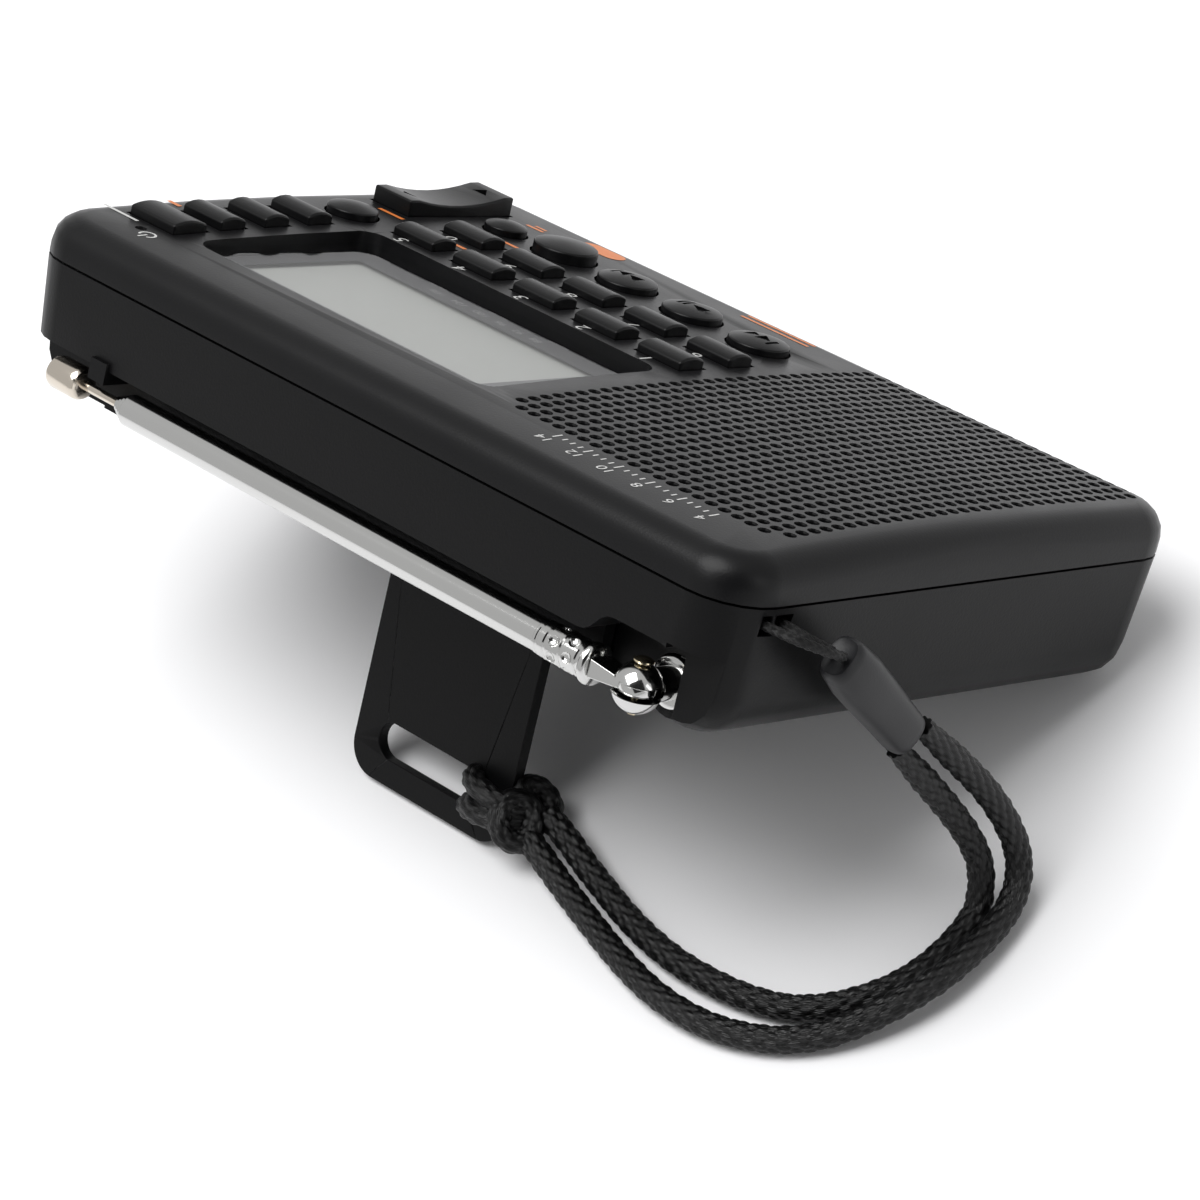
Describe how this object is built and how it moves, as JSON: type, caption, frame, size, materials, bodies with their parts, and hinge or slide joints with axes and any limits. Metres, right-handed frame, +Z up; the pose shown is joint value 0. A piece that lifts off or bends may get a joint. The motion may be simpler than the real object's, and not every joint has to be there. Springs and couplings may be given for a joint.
{
  "type": "tabletop radio",
  "caption": "Pocket world-band radio leaning on a folding stand, with keypad, display window, telescopic antenna on a swivel and elbow, and a braided wrist strap",
  "frame": {"origin": "middle of the bounding box of the object without its strap, on the table", "axes": "+X along the case towards its control end, +Y towards the antenna side that leans up, +Z up"},
  "size_m": [0.1322, 0.082, 0.0613],
  "materials": {
    "black_plastic": "satin, fine moulded texture",
    "key_rubber": "smooth satin",
    "chrome": "bright plated, polished",
    "steel": "plain satin",
    "window_glass": "clear polished window with a dark border",
    "lcd": "smooth grey",
    "board_green": "solder mask",
    "speaker_paper": "pressed paper",
    "ferrite": "sintered",
    "copper": "enamelled wire",
    "braid": "braided cord",
    "bead_grey": "satin",
    "battery_wrap": "printed wrap",
    "led_clear": "clear resin"
  },
  "bodies": {
    "root": {"front_case": "black_plastic", "rear_case": "black_plastic", "display_window": "window_glass", "display_panel": "lcd", "key_sheet": "key_rubber", "main_board": "board_green", "indicator_led": "led_clear", "speaker_frame": "steel", "speaker_cone": "speaker_paper", "speaker_magnet": "steel", "ferrite_rod": "ferrite", "ferrite_coil": "copper", "headphone_jack": "black_plastic", "usb_socket": "steel", "card_slot": "steel", "battery": "battery_wrap", "battery_contacts": "steel", "antenna_bush": "chrome", "kickstand_pin": "steel", "case_screw_1": "steel", "case_screw_2": "steel", "case_screw_3": "steel", "case_screw_4": "steel", "strap_loop": "braid", "strap_bead": "bead_grey", "strap_strand_a": "braid", "strap_strand_b": "braid"},
    "battery_cover": {"battery_cover": "black_plastic"},
    "kickstand": {"kickstand": "black_plastic", "strap_knot": "braid"},
    "tuning_rocker": {"tuning_rocker": "key_rubber"},
    "antenna_swivel": {"antenna_swivel": "chrome"},
    "antenna_arm": {"antenna_tube_1": "chrome", "elbow_pin": "chrome"},
    "antenna_section_2": {"antenna_tube_2": "chrome"},
    "antenna_section_3": {"antenna_tube_3": "chrome"},
    "antenna_section_4": {"antenna_tube_4": "chrome"},
    "antenna_tip": {"antenna_tip": "chrome"},
    "number_key_0": {"number_key_0": "key_rubber"},
    "number_key_1": {"number_key_1": "key_rubber"},
    "number_key_2": {"number_key_2": "key_rubber"},
    "number_key_3": {"number_key_3": "key_rubber"},
    "number_key_4": {"number_key_4": "key_rubber"},
    "number_key_5": {"number_key_5": "key_rubber"},
    "number_key_6": {"number_key_6": "key_rubber"},
    "number_key_7": {"number_key_7": "key_rubber"},
    "number_key_8": {"number_key_8": "key_rubber"},
    "number_key_9": {"number_key_9": "key_rubber"},
    "power_key": {"power_key": "key_rubber"},
    "band_key": {"band_key": "key_rubber"},
    "mode_key": {"mode_key": "key_rubber"},
    "timer_key": {"timer_key": "key_rubber"},
    "volume_key": {"volume_key": "key_rubber"},
    "previous_key": {"previous_key": "key_rubber"},
    "play_key": {"play_key": "key_rubber"},
    "next_key": {"next_key": "key_rubber"},
    "record_key": {"record_key": "key_rubber"},
    "lock_key": {"lock_key": "key_rubber"}
  },
  "joints": [
    {"name": "kickstand_hinge", "type": "hinge", "parent": "root", "child": "kickstand", "pos_m": [0.001, 0.01424, 0.03048], "axis": [-1, 0, 0], "range_deg": [0, 90], "deforming": ["strap_knot", "strap_strand_a", "strap_strand_b"]},
    {"name": "battery_cover_slide", "type": "slide", "parent": "root", "child": "battery_cover", "axis": [1, 0, 0], "range_m": [0, 0.006]},
    {"name": "tuning_rocker_hinge", "type": "hinge", "parent": "root", "child": "tuning_rocker", "pos_m": [0.0508, -0.02342, 0.02511], "axis": [1, 0, 0], "range_deg": [-3, 3], "stiffness_Nm_per_rad": 0.1},
    {"name": "antenna_swivel_hinge", "type": "hinge", "parent": "root", "child": "antenna_swivel", "pos_m": [-0.0473, 0.02936, 0.04332], "axis": [0, 0.8, 0.6], "range_deg": [0, 135]},
    {"name": "antenna_elbow_hinge", "type": "hinge", "parent": "antenna_swivel", "child": "antenna_arm", "pos_m": [-0.0473, 0.03416, 0.04692], "axis": [0, -0.6, 0.8], "range_deg": [0, 90]},
    {"name": "antenna_section_2_slide", "type": "slide", "parent": "antenna_arm", "child": "antenna_section_2", "axis": [1, 0, 0], "range_m": [0, 0.062]},
    {"name": "antenna_section_3_slide", "type": "slide", "parent": "antenna_section_2", "child": "antenna_section_3", "axis": [1, 0, 0], "range_m": [0, 0.062]},
    {"name": "antenna_section_4_slide", "type": "slide", "parent": "antenna_section_3", "child": "antenna_section_4", "axis": [1, 0, 0], "range_m": [0, 0.062]},
    {"name": "antenna_tip_slide", "type": "slide", "parent": "antenna_section_4", "child": "antenna_tip", "axis": [1, 0, 0], "range_m": [0, 0.062]},
    {"name": "number_key_0_press", "type": "slide", "parent": "root", "child": "number_key_0", "axis": [0, 0.6, -0.8], "range_m": [0, 0.0008], "stiffness_N_per_m": 400},
    {"name": "number_key_1_press", "type": "slide", "parent": "root", "child": "number_key_1", "axis": [0, 0.6, -0.8], "range_m": [0, 0.0008], "stiffness_N_per_m": 400},
    {"name": "number_key_2_press", "type": "slide", "parent": "root", "child": "number_key_2", "axis": [0, 0.6, -0.8], "range_m": [0, 0.0008], "stiffness_N_per_m": 400},
    {"name": "number_key_3_press", "type": "slide", "parent": "root", "child": "number_key_3", "axis": [0, 0.6, -0.8], "range_m": [0, 0.0008], "stiffness_N_per_m": 400},
    {"name": "number_key_4_press", "type": "slide", "parent": "root", "child": "number_key_4", "axis": [0, 0.6, -0.8], "range_m": [0, 0.0008], "stiffness_N_per_m": 400},
    {"name": "number_key_5_press", "type": "slide", "parent": "root", "child": "number_key_5", "axis": [0, 0.6, -0.8], "range_m": [0, 0.0008], "stiffness_N_per_m": 400},
    {"name": "number_key_6_press", "type": "slide", "parent": "root", "child": "number_key_6", "axis": [0, 0.6, -0.8], "range_m": [0, 0.0008], "stiffness_N_per_m": 400},
    {"name": "number_key_7_press", "type": "slide", "parent": "root", "child": "number_key_7", "axis": [0, 0.6, -0.8], "range_m": [0, 0.0008], "stiffness_N_per_m": 400},
    {"name": "number_key_8_press", "type": "slide", "parent": "root", "child": "number_key_8", "axis": [0, 0.6, -0.8], "range_m": [0, 0.0008], "stiffness_N_per_m": 400},
    {"name": "number_key_9_press", "type": "slide", "parent": "root", "child": "number_key_9", "axis": [0, 0.6, -0.8], "range_m": [0, 0.0008], "stiffness_N_per_m": 400},
    {"name": "power_key_press", "type": "slide", "parent": "root", "child": "power_key", "axis": [0, 0.6, -0.8], "range_m": [0, 0.0008], "stiffness_N_per_m": 400},
    {"name": "band_key_press", "type": "slide", "parent": "root", "child": "band_key", "axis": [0, 0.6, -0.8], "range_m": [0, 0.0008], "stiffness_N_per_m": 400},
    {"name": "mode_key_press", "type": "slide", "parent": "root", "child": "mode_key", "axis": [0, 0.6, -0.8], "range_m": [0, 0.0008], "stiffness_N_per_m": 400},
    {"name": "timer_key_press", "type": "slide", "parent": "root", "child": "timer_key", "axis": [0, 0.6, -0.8], "range_m": [0, 0.0008], "stiffness_N_per_m": 400},
    {"name": "volume_key_press", "type": "slide", "parent": "root", "child": "volume_key", "axis": [0, 0.6, -0.8], "range_m": [0, 0.0008], "stiffness_N_per_m": 400},
    {"name": "previous_key_press", "type": "slide", "parent": "root", "child": "previous_key", "axis": [0, 0.6, -0.8], "range_m": [0, 0.0008], "stiffness_N_per_m": 400},
    {"name": "play_key_press", "type": "slide", "parent": "root", "child": "play_key", "axis": [0, 0.6, -0.8], "range_m": [0, 0.0008], "stiffness_N_per_m": 400},
    {"name": "next_key_press", "type": "slide", "parent": "root", "child": "next_key", "axis": [0, 0.6, -0.8], "range_m": [0, 0.0008], "stiffness_N_per_m": 400},
    {"name": "record_key_press", "type": "slide", "parent": "root", "child": "record_key", "axis": [0, 0.6, -0.8], "range_m": [0, 0.0008], "stiffness_N_per_m": 400},
    {"name": "lock_key_press", "type": "slide", "parent": "root", "child": "lock_key", "axis": [0, 0.6, -0.8], "range_m": [0, 0.0008], "stiffness_N_per_m": 400}
  ]
}
